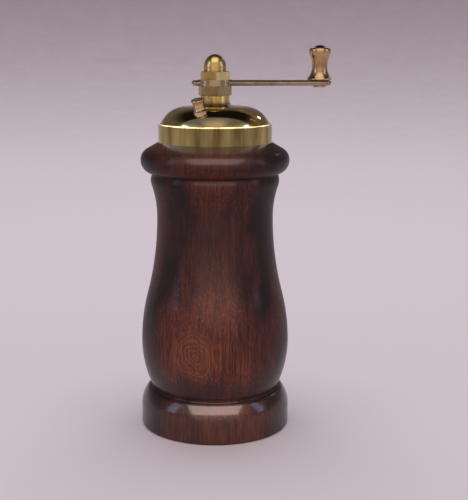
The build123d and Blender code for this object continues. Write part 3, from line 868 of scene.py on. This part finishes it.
@dataclass
class DomeLid:
    """Spun dome that turns in the band, with its filling port and the knob that turns it."""

    bottom: float = 123.65
    rise: float = 7.9
    rim_radius: float = 21.95
    sheet: float = 0.8
    crown_radius: float = 120.0
    shoulder_radius: float = 10.8
    crown_steps: int = 12
    shoulder_steps: int = 28
    spindle_hole: float = 5.06
    port_inner: float = 8.5
    port_outer: float = 16.6
    port_sweep: float = 66.0
    port_corner: float = 1.5
    port_turn: float = 90.0
    knob_turn: float = -109.4
    knob_reach: float = 17.0
    knob_lean: float = 15.5
    knob_lean_turn: float = -135.0
    knob_height: float = 5.2
    knob_top_radius: float = 2.8
    knob_top_round: float = 0.45
    knob_waist_radius: float = 1.9
    knob_waist_height: float = 2.1
    knob_base_radius: float = 2.65
    knob_base_edge: float = 0.5
    knob_seat: float = 1.8
    stud_radius: float = 1.2
    peen_radius: float = 1.8
    peen_height: float = 0.6
    washer_thickness: float = 1.0
    finish: Brass = SPUN_BRASS
    knob_finish: Brass = LID_KNOB_BRASS

    def shoulder_centre(self) -> complex:
        """Find the centre of the shoulder arc, which touches the crown arc and ends at the rim.

        Returns:
            Its radius and height.
        """
        crown_centre = self.bottom + self.rise - self.crown_radius
        rim = complex(self.rim_radius, self.bottom - crown_centre)
        reach = self.crown_radius - self.shoulder_radius
        along = (reach**2 - self.shoulder_radius**2 + abs(rim) ** 2) / (2 * abs(rim))
        aside = math.sqrt(reach**2 - along**2)
        return complex(along, aside) * rim / abs(rim) + 1j * crown_centre

    def surface(self, radius: float) -> float:
        """Find the height of the outer face at a radius on the shoulder.

        Args:
            radius: Distance from the axis.

        Returns:
            Height of the face.
        """
        centre = self.shoulder_centre()
        return centre.imag + math.sqrt(self.shoulder_radius**2 - (radius - centre.real) ** 2)

    def face(self, inset: float) -> list[complex]:
        """Draw the dome's face from the spindle hole to the rim.

        Args:
            inset: Distance of the line under the outer face.

        Returns:
            Points of radius and height.
        """
        crown_centre = complex(0, self.bottom + self.rise - self.crown_radius)
        centre = self.shoulder_centre()
        lean = math.asin(centre.real / (self.crown_radius - self.shoulder_radius))
        crown = self.crown_radius - inset
        shoulder = self.shoulder_radius - inset
        hole = math.asin(self.spindle_hole / crown)
        rim = math.pi / 2 - math.asin((self.bottom - centre.imag) / shoulder)
        leans = [hole + (lean - hole) * index / self.crown_steps for index in range(self.crown_steps)]
        line = [crown_centre + crown * cmath.rect(1, math.pi / 2 - turn) for turn in leans]
        steps = self.shoulder_steps
        leans = [lean + (rim - lean) * index / steps for index in range(steps + 1)]
        return line + [centre + shoulder * cmath.rect(1, math.pi / 2 - turn) for turn in leans]

    def port(self) -> Outline:
        """Draw the plan of the filling port, a sector with round corners.

        Returns:
            The closed plan.
        """
        half = math.radians(self.port_sweep / 2)
        mid = math.radians(self.port_turn)
        inner_trim = self.port_corner / self.port_inner
        outer_trim = self.port_corner / self.port_outer
        near, far = self.port_inner + self.port_corner, self.port_outer - self.port_corner

        def at(radius: float, turn: float) -> Pair:
            """Place at a radius and a turn from the port's middle."""
            return radius * math.cos(mid + turn), radius * math.sin(mid + turn)

        side = math.degrees(mid + half)
        line = Outline(*at(far, -half))
        line.arc(*at(self.port_outer, -half + outer_trim), leaves=math.degrees(mid - half), step=15)
        line.arc(*at(self.port_outer, half - outer_trim), leaves=math.degrees(mid - half + outer_trim) + 90)
        line.arc(*at(far, half), leaves=math.degrees(mid + half - outer_trim) + 90, step=15)
        line.line(*at(near, half))
        line.arc(*at(self.port_inner, half - inner_trim), leaves=side + 180, step=15)
        line.arc(*at(self.port_inner, -half + inner_trim), leaves=math.degrees(mid + half - inner_trim) - 90)
        line.arc(*at(near, -half), leaves=math.degrees(mid - half + inner_trim) - 90, step=15)
        return line.line(*at(far, -half))

    def knob_spool(self) -> Outline:
        """Draw the half section of the knob's spool, with a foot that reaches into the dome.

        Returns:
            The outline from axis to axis.
        """
        line = Outline(0, -self.knob_seat).steps(self.knob_base_radius, self.knob_base_edge)
        line.arc(self.knob_waist_radius, self.knob_waist_height, arrives=90)
        line.arc(self.knob_top_radius, self.knob_height - self.knob_top_round, leaves=90)
        line.arc(self.knob_top_radius - self.knob_top_round, self.knob_height, arrives=180, step=15)
        return line.line(0, self.knob_height)

    def knob_stud(self) -> Outline:
        """Draw the half section of the knob's stud with its peened end.

        Returns:
            The outline from axis to axis.
        """
        peen_top = -self.sheet - self.washer_thickness
        line = Outline(0, peen_top - self.peen_height)
        return line.steps(self.peen_radius, peen_top, self.stud_radius, self.knob_base_edge, 0)

    def lean_knob(self, piece: Object) -> None:
        """Stand a part of the knob on the dome's face, leaning outwards.

        Args:
            piece: Part of the knob, modelled upright on the origin.
        """
        foot = cmath.rect(self.knob_reach, math.radians(self.knob_turn))
        piece.rotation_euler = (0, math.radians(self.knob_lean), math.radians(self.knob_lean_turn))
        piece.location = Vector((foot.real, foot.imag, self.surface(self.knob_reach))) * MM
        select_only(piece)
        bpy.ops.object.transform_apply(location=True, rotation=True, scale=True)

    def build(self) -> None:
        """Model and dress the dome and its knob."""
        self.build_dome()
        self.build_knob()

    def build_dome(self) -> None:
        """Model the dome from its two faces and cut the filling port."""
        outer, inner = self.face(0), self.face(self.sheet)
        section = Outline(outer[0].real, outer[0].imag)
        for point in outer[1:] + inner[::-1] + outer[:1]:
            section.line(point.real, point.imag)
        dome = turned("dome_lid_spun", section, segments=192)
        cutter = cut_sheet("port_cutter", self.port(), self.bottom, self.bottom + 2 * self.rise)
        combine(dome, cutter, Shaping.CUT)
        ease_edges(dome, width=0.12, segments=2)
        seat(dome, Body.LID, Slot.BRASS, self.finish.material(), "dome_lid")

    def build_knob(self) -> None:
        """Model the knob: a spool whose foot is fitted to the dome, on a peened stud."""
        knob = turned("lid_knob_turned", self.knob_spool(), segments=72)
        self.lean_knob(knob)
        core = Outline(0, self.bottom + self.rise)
        for point in self.face(0):
            core.line(point.real, point.imag)
        combine(knob, turned("lid_core", core.line(0, self.bottom), segments=96), Shaping.CUT)
        stud = turned("lid_knob_stud", self.knob_stud(), segments=48)
        self.lean_knob(stud)
        combine(knob, stud, Shaping.JOIN)
        ease_edges(knob, width=0.12)
        brass = self.knob_finish.material()
        seat(knob, Body.LID, Slot.BRASS, brass, "lid_knob")
        dress_node("lid_knob_washer", brass)


@dataclass
class Crank:
    """Arm with its hub and eye, the adjusting nut under it and the acorn nut on top."""

    nut_bottom: float = 135.2
    nut_flats: float = 12.0
    nut_height: float = 3.7
    nut_corner: float = -78.8
    nut_chamfer: float = 15.0
    bore: float = 3.06
    hub_bottom: float = 138.9
    hub_top: float = 141.4
    hub_radius: float = 6.8
    arm_bottom: float = 139.1
    arm_top: float = 141.2
    arm_width: float = 7.4
    arm_tail: float = 9.2
    arm_end: float = 4.6
    arm_edge: float = 0.95
    reach: float = 41.4
    pin_radius: float = 1.53
    acorn_flats: float = 11.0
    acorn_base: float = 3.2
    acorn_corner: float = -85.1
    acorn_radius: float = 4.45
    acorn_wall: float = 1.6
    acorn_sink: float = 0.2
    acorn_steps: int = 24
    acorn_height: float = 10.0
    acorn_bore: float = 7.9
    arm_finish: Brass = WORN_BRASS
    nut_finish: Brass = NUT_BRASS
    acorn_finish: Brass = ACORN_BRASS

    def hexagon(
        self, name: str, flats: float, bottom: float, top: float, corner: float, base_cut: bool
    ) -> Object:
        """Model a hexagon with its corners chamfered as on a turned nut.

        Args:
            name: Name of the new piece.
            flats: Width across the flats.
            bottom: Height of its underside.
            top: Height of its upper face.
            corner: Turn of one corner from +X, in degrees.
            base_cut: Whether the underside is chamfered too.

        Returns:
            The piece, without a bore.
        """
        radius = flats / math.sqrt(3)
        bpy.ops.object.select_all(action="DESELECT")
        bpy.ops.mesh.primitive_cylinder_add(
            vertices=6,
            radius=radius * MM,
            depth=(top - bottom) * MM,
            location=(0, 0, (top + bottom) / 2 * MM),
            rotation=(0, 0, math.radians(corner - 90)),
        )
        nut = bpy.context.object
        nut.name = name
        nut.data.name = name
        bpy.ops.object.transform_apply(location=True, rotation=True, scale=True)
        cut = (radius - flats / 2) * math.tan(math.radians(self.nut_chamfer))
        outside = radius * LATHE_ROOM
        lathe = Outline(0, bottom)
        if base_cut:
            lathe.line(flats / 2, bottom).line(outside, bottom + cut)
        else:
            lathe.line(outside, bottom)
        lathe.line(outside, top - cut).line(flats / 2, top).line(0, top)
        combine(nut, turned("nut_lathe", lathe, segments=96), Shaping.TRIM)
        return nut

    def arm_plan(self) -> Outline:
        """Draw the arm seen from above, a bar with round corners.

        Returns:
            The closed plan.
        """
        half = self.arm_width / 2
        corner = half - self.arm_edge
        near, far = -self.arm_tail, self.reach + self.arm_end
        plan = Outline(near + corner, -half).line(far - corner, -half)
        plan.arc(far, -self.arm_edge, leaves=0, step=8).line(far, self.arm_edge)
        plan.arc(far - corner, half, leaves=90, step=8).line(near + corner, half)
        plan.arc(near, self.arm_edge, leaves=180, step=8).line(near, -self.arm_edge)
        return plan.arc(near + corner, -half, leaves=270, step=8)

    def build(self) -> None:
        """Model and dress the adjusting nut, the arm and the acorn nut."""
        self.build_nut()
        self.build_arm()
        self.build_acorn()

    def rod(self, name: str, radius: float, bottom: float, top: float, centre: float = 0.0) -> Object:
        """Model a plain rod that cuts a hole."""
        return turned(name, Outline(0, bottom).steps(radius, top, 0), segments=64, centre=(centre, 0))

    def build_nut(self) -> None:
        """Model the adjusting nut."""
        top = self.nut_bottom + self.nut_height
        nut = self.hexagon(
            "adjusting_nut_milled", self.nut_flats, self.nut_bottom, top, self.nut_corner, base_cut=True
        )
        bore = self.rod("bore", self.bore, self.nut_bottom - THROUGH, top + THROUGH)
        combine(nut, bore, Shaping.CUT)
        ease_edges(nut, width=0.14)
        seat(nut, Body.ADJUSTER, Slot.WORN_BRASS, self.nut_finish.material(), "adjusting_nut")

    def build_arm(self) -> None:
        """Model the arm from its plan with round edges, and join its turned hub."""
        arm = cut_sheet("crank_arm_forged", self.arm_plan(), self.arm_bottom, self.arm_top)
        ease_edges(arm, self.arm_edge, segments=6, angle=60)
        hub_line = Outline(0, self.hub_bottom).steps(self.hub_radius, self.hub_top, 0)
        combine(arm, turned("hub", hub_line, segments=96), Shaping.JOIN)
        bore = self.rod("spindle_hole", self.bore, self.hub_bottom - THROUGH, self.hub_top + THROUGH)
        combine(arm, bore, Shaping.CUT)
        pin_hole = self.rod(
            "pin_hole", self.pin_radius, self.arm_bottom - THROUGH, self.arm_top + THROUGH, self.reach
        )
        combine(arm, pin_hole, Shaping.CUT)
        ease_edges(arm, width=0.2, angle=45)
        seat(arm, Body.CRANK, Slot.WORN_BRASS, self.arm_finish.material(), "crank_arm")

    def build_acorn(self) -> None:
        """Model the acorn nut: a hexagon base under a tall dome."""
        base_top = self.hub_top + self.acorn_base
        wall_top = base_top + self.acorn_wall
        top = self.hub_top + self.acorn_height
        acorn = self.hexagon(
            "acorn_nut_turned", self.acorn_flats, self.hub_top, base_top, self.acorn_corner, base_cut=False
        )
        foot = self.hub_top + self.acorn_sink
        dome = Outline(0, foot).steps(self.acorn_radius, wall_top)
        for index in range(1, self.acorn_steps + 1):
            turn = math.pi / 2 * index / self.acorn_steps
            dome.line(self.acorn_radius * math.cos(turn), wall_top + (top - wall_top) * math.sin(turn))
        combine(acorn, turned("acorn_dome", dome, segments=96), Shaping.JOIN)
        bore = self.rod("acorn_bore", self.bore, self.hub_top - THROUGH, self.hub_top + self.acorn_bore)
        combine(acorn, bore, Shaping.CUT)
        ease_edges(acorn, width=0.14, angle=28)
        seat(acorn, Body.CAP_NUT, Slot.BRASS, self.acorn_finish.material(), "acorn_nut")


@dataclass
class CrankKnob:
    """Spool knob that spins on a riveted pin at the end of the arm."""

    reach: float = 41.4
    arm_bottom: float = 139.1
    bottom: float = 141.35
    height: float = 12.4
    base_radius: float = 4.85
    base_edge: float = 0.5
    waist_radius: float = 3.0
    waist_height: float = 4.9
    rim_radius: float = 4.25
    rim_height: float = 11.55
    rim_wall: float = 1.4
    top_radius: float = 3.5
    bore: float = 1.56
    pin_radius: float = 1.5
    head_radius: float = 2.6
    head_height: float = 1.0
    head_gap: float = 0.15
    tail_radius: float = 2.5
    tail_height: float = 0.6
    finish: Brass = KNOB_BRASS

    def build(self) -> None:
        """Model and dress the knob and its pin."""
        brass = self.finish.material()
        up = self.bottom
        spool = Outline(self.bore, up).steps(self.base_radius, up + self.base_edge)
        spool.arc(self.waist_radius, up + self.waist_height, arrives=90)
        spool.arc(self.rim_radius, up + self.rim_height - self.rim_wall, leaves=90)
        spool.line(self.rim_radius, up + self.rim_height)
        spool.arc(self.top_radius, up + self.height, leaves=90, step=10)
        spool.line(self.bore, up + self.height).line(self.bore, up)
        knob = turned("crank_knob_turned", spool, segments=96, centre=(self.reach, 0))
        ease_edges(knob, width=0.14)
        seat(knob, Body.KNOB, Slot.BRASS, brass, "crank_knob")
        head = up + self.height + self.head_gap
        tail = self.arm_bottom - self.tail_height
        pin = Outline(0, tail)
        pin.steps(self.tail_radius, self.arm_bottom, self.pin_radius, head, self.head_radius)
        pin.arc(0, head + self.head_height, arrives=180)
        rivet = turned("knob_pin_riveted", pin, segments=64, centre=(self.reach, 0))
        ease_edges(rivet, width=0.12)
        seat(rivet, Body.CRANK, Slot.BRASS, brass, "knob_pin")


@dataclass
class GrindingGear:
    """Spindle, spring, burrs and the bridge under them, which keep their CAD meshes."""

    steel_nodes: tuple[str, ...] = (
        "drive_spindle",
        "spring_washer",
        "spindle_spring",
        "rotor_nut",
        "bottom_bridge",
        "bridge_screws",
        "ring_screws",
    )
    burr_nodes: tuple[str, ...] = ("rotor_burr", "grinding_ring")
    bush_nodes: tuple[str, ...] = ("bridge_bush",)

    def build(self) -> None:
        """Dress the nodes."""
        for nodes, finish in (
            (self.steel_nodes, SPINDLE_STEEL),
            (self.burr_nodes, BURR_STEEL),
            (self.bush_nodes, NUT_BRASS),
        ):
            material = finish.material()
            for node in nodes:
                dress_node(node, material)


@dataclass
class Studio:
    """Pale paper sweep, soft lights and the camera at the photograph's angle."""

    floor_radius: float = 800.0
    wall_radius: float = 2000.0
    wall_height: float = 520.0
    horizon: str = "#b3a9a6"
    ceiling: str = "#1a1718"
    haze: Pair = (0.8, 0.45)
    front_span: Span = (0.2, -0.6, 0.3, 1.0)
    glow_width: Pair = (0.5, 0.1)
    glow_depth: Pair = (-0.1, -0.6)
    aim_height: float = 80.0
    camera_distance: float = 410.0
    camera_height: float = 153.0
    camera_pitch: float = 11.1
    focal_pixels: float = 1020.0
    image_width: float = 468.0
    image_height: float = 500.0
    axis_pixel: float = 215.0
    sensor: float = 36.0
    # Matt paper: a pale ground without an edge, which keeps the mill's soft shadow.
    paper: PaperFloor = PaperFloor()

    def build_sweep(self) -> None:
        """Model the floor as a wide dish of paper that curves up far from the mill."""
        line = Outline(0, 0).line(self.floor_radius, 0)
        line.arc(self.wall_radius, self.wall_height, leaves=0)
        sweep = turned(SWEEP, line, segments=96)
        bpy.ops.object.shade_smooth()
        sweep.data.materials.append(self.paper.material())

    def add_light(
        self,
        name: str,
        place: Triple,
        size: Pair,
        power: float,
        tint: str,
        kind: Lamp = Lamp.SOFTBOX,
        *mirrored_in: str,
    ) -> None:
        """Add a rectangular softbox that faces the mill.

        Args:
            name: Name of the light.
            place: Its place in millimetres.
            size: Its width and height in millimetres.
            power: Its power in watts.
            tint: Its colour.
            kind: Way in which it shows.
            mirrored_in: Pieces that mirror a card.
        """
        light = bpy.data.lights.new(name, "AREA")
        light.shape = "RECTANGLE"
        light.size, light.size_y = size[0] * MM, size[1] * MM
        light.energy = power
        light.color = linear(tint)[:3]
        lamp = bpy.data.objects.new(name, light)
        lamp.visible_camera = False
        lamp.visible_glossy = kind is not Lamp.FILL
        lamp.visible_diffuse = kind is not Lamp.CARD
        if kind is not Lamp.FILL:
            linked = bpy.data.collections.new(name)
            for piece in mirrored_in or (SWEEP,):
                linked.objects.link(bpy.data.objects[piece])
            if kind is Lamp.SOFTBOX:
                linked.collection_objects[0].light_linking.link_state = "EXCLUDE"
            lamp.light_linking.receiver_collection = linked
        lamp.location = Vector(place) * MM
        aim = Vector((0, 0, self.aim_height)) * MM - lamp.location
        lamp.rotation_euler = aim.to_track_quat("-Z", "Y").to_euler()
        bpy.context.scene.collection.objects.link(lamp)

    def build_lights(self) -> None:
        """Add the softboxes, and the cards that are mirrored in single pieces."""
        self.add_light("top_softbox", (0, 350, 1900), (2000, 2000), 28.5, "#fffaff", Lamp.FILL)
        self.add_light("front_softbox", (0, -1100, 330), (1700, 500), 2.2, "#fff1ea")
        self.add_light("left_window", (-700, -235, 370), (210, 480), 1.0, "#b4c8ff")
        self.add_light("right_window", (715, -180, 370), (180, 480), 0.86, "#b4c8ff")
        varnish, band = "wooden_body_turned", "cap_band_rolled"
        dome, acorn, bush = "dome_lid_spun", "acorn_nut_turned", "spindle_bush_turned"
        knob = "crank_knob_turned"
        self.add_light("varnish_card", (0, -660, 760), (1400, 900), 30.0, "#ffe4dc", Lamp.CARD, varnish)
        self.add_light("band_card", (0, 0, 700), (2400, 2400), 100.0, "#f4f4ff", Lamp.CARD, band)
        self.add_light("dome_card", (0, -470, 910), (3800, 900), 2.3, "#f0eeff", Lamp.CARD, dome)
        self.add_light("acorn_card", (0, -422, 944), (1100, 850), 4.6, "#f0f0ff", Lamp.CARD, acorn, knob)
        self.add_light("bush_card", (620, -330, 150), (130, 360), 0.2, "#fff4ea", Lamp.CARD, bush)
        self.add_light("back_lamp", (560, 640, 560), (90, 90), 0.14, "#ffeede")

    def build_world(self) -> None:
        """Add a world that is dim overhead, pale round the horizon and pale in a strip at the front."""
        world = bpy.data.worlds.new("studio_air")
        world.use_nodes = True
        tree = world.node_tree
        tree.nodes.clear()
        sky = add_node(tree, "TexCoord")["Generated"]
        parts = add_node(tree, "SeparateXYZ", (sky,))
        aside = add_node(tree, "Math", (parts["X"],), operation="ABSOLUTE")[0]
        spans = ((parts["Z"], *self.haze), (parts["Y"], *self.front_span), (aside, *self.glow_width))
        low, front, middle = (
            add_node(tree, "MapRange", span, interpolation_type="SMOOTHSTEP")[0] for span in spans
        )
        ahead = add_node(tree, "MapRange", (parts["Y"], *self.glow_depth))[0]
        wall = add_node(tree, "Math", (low, front), operation="MULTIPLY")[0]
        glow = add_node(tree, "Math", (middle, ahead), operation="MULTIPLY")[0]
        pale = add_node(tree, "Math", (wall, glow), operation="MAXIMUM")[0]
        tones = {0: pale, 6: linear(self.ceiling), 7: linear(self.horizon)}
        tint = add_node(tree, "Mix", tones, data_type="RGBA")[2]
        air = add_node(tree, "Background", {"Color": tint, "Strength": 1.0})[0]
        add_node(tree, "OutputWorld", {"Surface": air})
        bpy.context.scene.world = world

    def build_camera(self) -> None:
        """Add the camera where the photograph was taken."""
        lens = bpy.data.cameras.new("photo_camera")
        long_side = max(self.image_width, self.image_height)
        lens.sensor_width = self.sensor
        lens.lens = self.focal_pixels / long_side * self.sensor
        lens.shift_x = (self.image_width / 2 - self.axis_pixel) / long_side
        camera = bpy.data.objects.new("photo_camera", lens)
        camera.location = Vector((0, -self.camera_distance, self.camera_height)) * MM
        camera.rotation_euler = (math.radians(90 - self.camera_pitch), 0, 0)
        bpy.context.scene.collection.objects.link(camera)
        bpy.context.scene.camera = camera

    def build(self) -> None:
        """Build the sweep, the lights, the world and the camera."""
        self.build_sweep()
        self.build_lights()
        self.build_world()
        self.build_camera()
        bpy.context.scene.view_settings.view_transform = "Standard"


def main() -> None:
    """Build every sub-assembly in order."""
    logging.basicConfig(level=logging.INFO, format="%(message)s")
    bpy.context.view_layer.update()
    for part in (WoodenBody(), BrassCap(), DomeLid(), Crank(), CrankKnob(), GrindingGear(), Studio()):
        part.build()
        log.info("%s is built", type(part).__name__)


if __name__ == "__main__":
    main()
